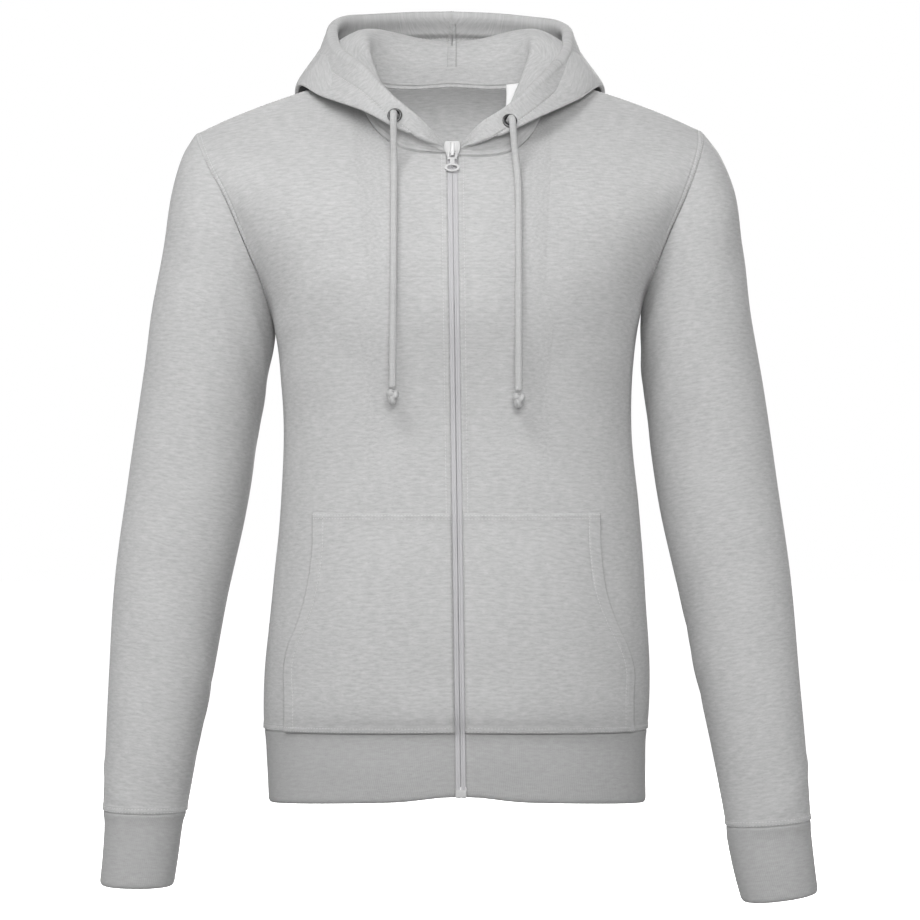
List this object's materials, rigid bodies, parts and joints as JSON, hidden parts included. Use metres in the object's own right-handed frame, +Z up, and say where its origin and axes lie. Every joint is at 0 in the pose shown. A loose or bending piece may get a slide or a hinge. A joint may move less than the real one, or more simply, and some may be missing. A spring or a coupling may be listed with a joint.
{
  "type": "zip up hoodie",
  "caption": "Zip up hooded sweatshirt in plain grey knit, worn shape, hood laid back, split front pocket, ribbed cuffs and hem, drawcord through metal eyelets.",
  "frame": {"origin": "between the shoulders, at the height of the neckline's highest point beside the neck, where the wearer's neck and shoulders hold the garment", "axes": "+Z up along the body, -Y out of the front where the zip is, +X towards the sleeve named right"},
  "size_m": [0.675, 0.2997, 0.8457],
  "materials": {
    "jersey": "light grey heather knit, matt",
    "rib": "slightly darker rib knit, matt",
    "tape": "woven twill tape",
    "label": "bare white woven label",
    "zip_tape": "light grey zip tape and coil with a lilac cast",
    "white_metal": "glossy white paint",
    "white_plastic": "moulded bottom stop",
    "eyelet_metal": "dark gunmetal eyelet",
    "cord": "knitted round cord"
  },
  "bodies": {
    "garment": {"front_right": "jersey", "front_left": "jersey", "back": "jersey", "hem_band": "rib", "sleeve_right": "jersey", "sleeve_left": "jersey", "cuff_right": "rib", "cuff_left": "rib", "hood_right": "jersey", "hood_left": "jersey", "pocket_right": "jersey", "pocket_left": "jersey", "neck_tape": "tape", "neck_label": "label", "zip_tape_right": "zip_tape", "zip_tape_left": "zip_tape", "grommet_right": "eyelet_metal", "grommet_left": "eyelet_metal", "drawcord_right": "cord", "knot_right": "cord", "drawcord_left": "cord", "knot_left": "cord", "zip_slider": "white_metal", "zip_stop": "white_plastic"},
    "pull_tab": {"zip_pull": "white_metal"}
  },
  "joints": [
    {"name": "pull_swing", "type": "hinge", "parent": "garment", "child": "pull_tab", "pos_m": [0.00039, -0.08125, -0.07605], "axis": [-1, 0, 0], "range_deg": [0, 95]}
  ]
}
